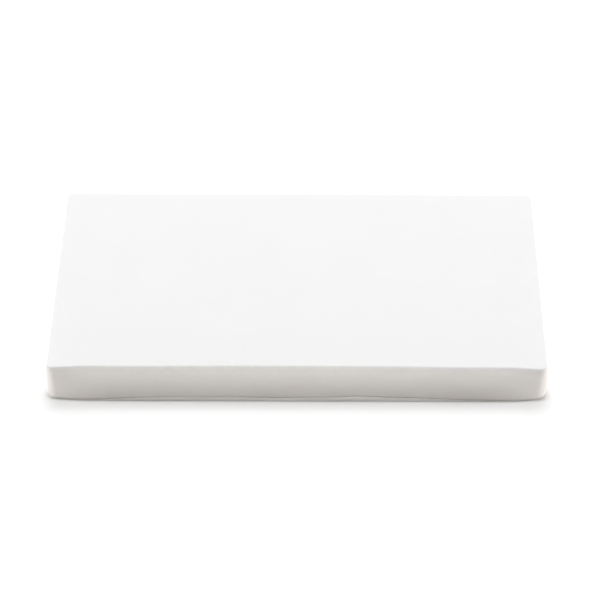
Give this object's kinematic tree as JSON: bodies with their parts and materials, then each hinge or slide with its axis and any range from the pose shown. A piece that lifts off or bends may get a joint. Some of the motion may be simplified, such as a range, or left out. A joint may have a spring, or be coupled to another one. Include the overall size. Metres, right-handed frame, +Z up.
{
  "type": "nail buffer block",
  "caption": "Slim rectangular nail buffer slab: a soft crowned foam core with a thin white abrasive sheet bonded to each broad face.",
  "frame": {"origin": "centre of the underside, on the surface the block lies on", "axes": "+X along the length, +Y from front to back, +Z up through the thickness"},
  "size_m": [0.095, 0.06, 0.0072],
  "materials": {
    "foam": "matt fine-celled foam, warm off-white",
    "adhesive": "thin dull adhesive line",
    "backing": "matt cut edge of a dense backing sheet",
    "abrasive": "matt white fine-grit coat, no gloss"
  },
  "bodies": {
    "root": {"foam_core": "foam", "top_adhesive_film": "adhesive", "top_backing_sheet": "backing", "top_abrasive_coat": "abrasive", "bottom_adhesive_film": "adhesive", "bottom_backing_sheet": "backing", "bottom_abrasive_coat": "abrasive"}
  },
  "joints": []
}
